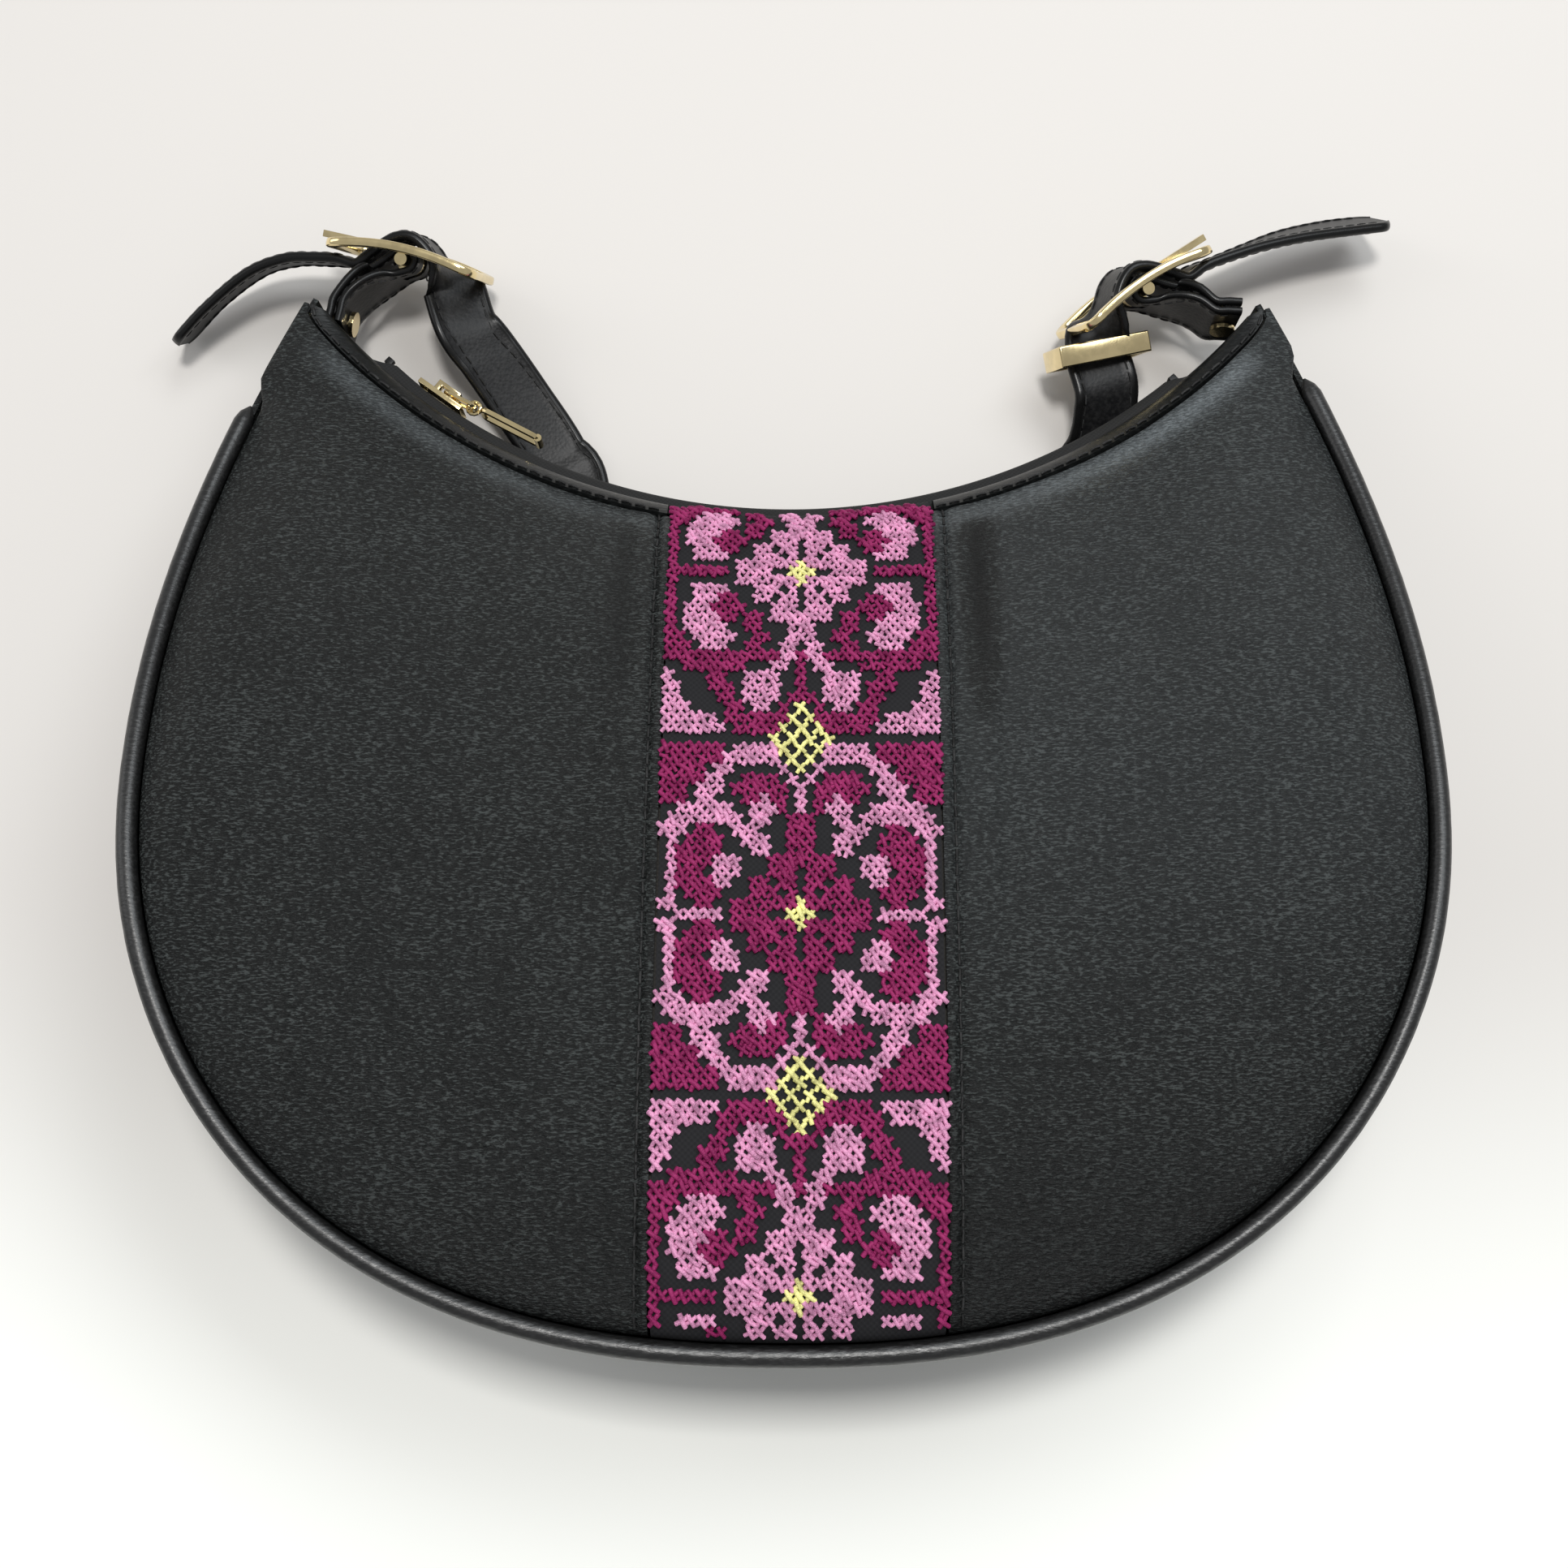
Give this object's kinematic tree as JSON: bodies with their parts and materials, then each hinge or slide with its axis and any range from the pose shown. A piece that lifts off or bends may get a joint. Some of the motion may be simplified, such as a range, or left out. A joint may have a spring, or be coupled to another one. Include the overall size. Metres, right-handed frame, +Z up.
{
  "type": "half moon bag",
  "caption": "Half moon shoulder bag with embroidered centre strip, piped rims, curved zip mouth and a leather strap held by two gold buckles, lying on its back.",
  "frame": {"origin": "middle of the outer box, on the table that the bag lies on", "axes": "+Z up, out of the front of the bag; +Y from the rounded bottom towards the mouth and the horns; +X to the right"},
  "size_m": [0.2874, 0.273, 0.0713],
  "materials": {
    "black_leather": "smooth black leather, half gloss, fine grain",
    "strap_leather": "polished black leather",
    "piping_leather": "glossy black leather cord",
    "embroidery": "cross stitch in magenta, pink and pale yellow on black",
    "lining_cloth": "plain dark lining",
    "zip_tape": "black woven tape and coil",
    "gold_metal": "polished pale gold plate"
  },
  "bodies": {
    "bag": {"back_facing": "black_leather", "back_panel": "black_leather", "back_piping": "piping_leather", "buckle_bar_left": "gold_metal", "buckle_bar_right": "gold_metal", "buckle_frame_left": "gold_metal", "buckle_frame_right": "gold_metal", "embroidered_strip": "embroidery", "front_facing_left": "black_leather", "front_facing_right": "black_leather", "front_panel_left": "black_leather", "front_panel_right": "black_leather", "front_piping": "piping_leather", "gusset": "black_leather", "inner_pocket": "lining_cloth", "lining": "lining_cloth", "rivet_left": "gold_metal", "rivet_right": "gold_metal", "strap_bend_left": "strap_leather", "strap_bend_right": "strap_leather", "strap_end_left": "strap_leather", "strap_end_right": "strap_leather", "tab_left": "strap_leather", "tab_right": "strap_leather", "zip_stop_back": "gold_metal", "zip_stop_end": "gold_metal", "zip_stop_front": "gold_metal", "zip_tape_back": "zip_tape", "zip_tape_front": "zip_tape", "zip_teeth_back": "zip_tape", "zip_teeth_front": "zip_tape"},
    "strap": {"strap_loop": "strap_leather"},
    "keeper": {"strap_keeper": "gold_metal"},
    "left_prong": {"prong_left": "gold_metal"},
    "right_prong": {"prong_right": "gold_metal"},
    "zip_slider": {"zip_slider": "gold_metal"},
    "pull_link": {"pull_link": "gold_metal"},
    "zip_pull": {"zip_pull": "gold_metal"}
  },
  "joints": [
    {"name": "strap_swing", "type": "hinge", "parent": "bag", "child": "strap", "pos_m": [0.001, 0.0924, 0.012], "axis": [1, 0, 0], "range_deg": [0, 180], "deforming": ["strap_bend_left", "strap_bend_right"]},
    {"name": "left_prong_lift", "type": "hinge", "parent": "bag", "child": "left_prong", "pos_m": [-0.0898, 0.1174, 0.019], "axis": [0.0849, 0.3649, -0.9272], "range_deg": [0, 12]},
    {"name": "right_prong_lift", "type": "hinge", "parent": "bag", "child": "right_prong", "pos_m": [0.0844, 0.1105, 0.019], "axis": [0.2111, -0.3095, 0.9272], "range_deg": [0, 12]},
    {"name": "keeper_slide", "type": "slide", "parent": "bag", "child": "keeper", "axis": [0.1308, -0.9403, -0.3141], "range_m": [0, 0.006], "deforming": ["strap_bend_right"]},
    {"name": "zip_run", "type": "hinge", "parent": "bag", "child": "zip_slider", "pos_m": [0.001, 0.1944, 0.01975], "axis": [0, 0, 1], "range_deg": [0, 71], "deforming": ["zip_tape_front", "zip_tape_back", "zip_teeth_front", "zip_teeth_back"]},
    {"name": "link_swing", "type": "hinge", "parent": "zip_slider", "child": "pull_link", "pos_m": [-0.07985, 0.08312, 0.01975], "axis": [0, 0, 1], "range_deg": [0, 165]},
    {"name": "pull_swing", "type": "hinge", "parent": "pull_link", "child": "zip_pull", "pos_m": [-0.07308, 0.07967, 0.01975], "axis": [0, 0, -1], "range_deg": [-45, 6]}
  ]
}
